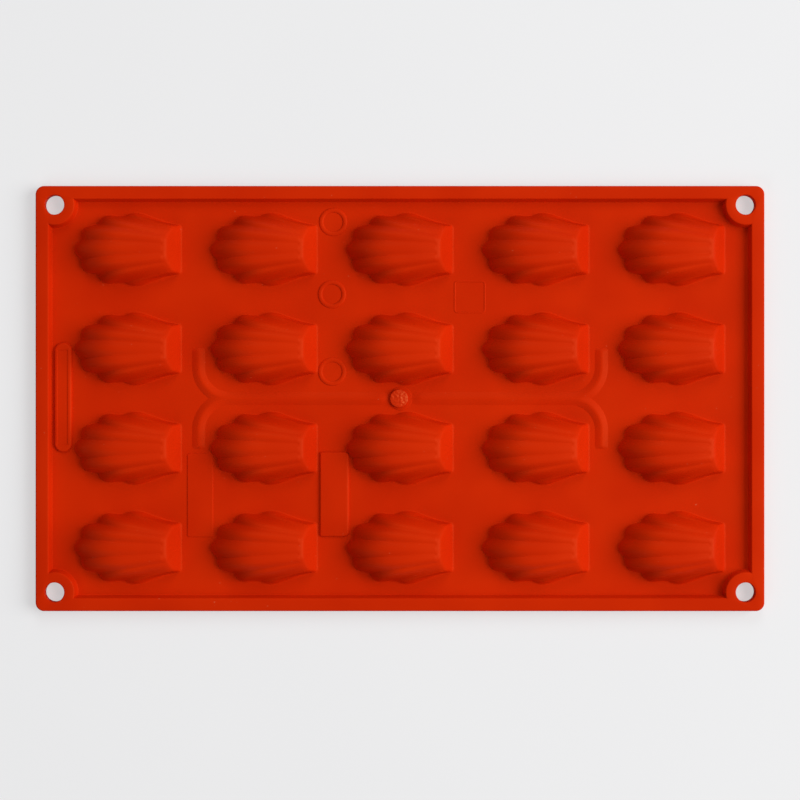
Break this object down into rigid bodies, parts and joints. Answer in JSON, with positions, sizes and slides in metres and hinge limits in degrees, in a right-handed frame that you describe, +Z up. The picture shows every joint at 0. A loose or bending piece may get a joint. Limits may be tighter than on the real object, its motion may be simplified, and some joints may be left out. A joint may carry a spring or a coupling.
{
  "type": "flexible madeleine mould",
  "caption": "Flexible silicone baking mould with rows of fluted shell cups, a raised rim, forked stiffening ribs and a hanging hole in each corner.",
  "frame": {"origin": "centre of the mould's footprint on the flat open face, which is the plane Z = 0", "axes": "+Z up from the open face towards the cup bottoms, with the mould lying face down as in the picture; +X along its length, from the fluted toes to the straight heels of the cups; +Y across its width"},
  "size_m": [0.3, 0.175, 0.0126],
  "materials": {
    "sheet_silicone": "matte",
    "rim_silicone": "matte",
    "cup_silicone": "matte",
    "rib_silicone": "matte",
    "boss_silicone": "matte"
  },
  "bodies": {
    "root": {"sheet": "sheet_silicone", "rim": "rim_silicone", "left_forked_rib": "rib_silicone", "right_forked_rib": "rib_silicone", "gate_boss": "boss_silicone", "cup_r1c1": "cup_silicone", "cup_r1c2": "cup_silicone", "cup_r1c3": "cup_silicone", "cup_r1c4": "cup_silicone", "cup_r1c5": "cup_silicone", "cup_r2c1": "cup_silicone", "cup_r2c2": "cup_silicone", "cup_r2c3": "cup_silicone", "cup_r2c4": "cup_silicone", "cup_r2c5": "cup_silicone", "cup_r3c1": "cup_silicone", "cup_r3c2": "cup_silicone", "cup_r3c3": "cup_silicone", "cup_r3c4": "cup_silicone", "cup_r3c5": "cup_silicone", "cup_r4c1": "cup_silicone", "cup_r4c2": "cup_silicone", "cup_r4c3": "cup_silicone", "cup_r4c4": "cup_silicone", "cup_r4c5": "cup_silicone"}
  },
  "joints": []
}
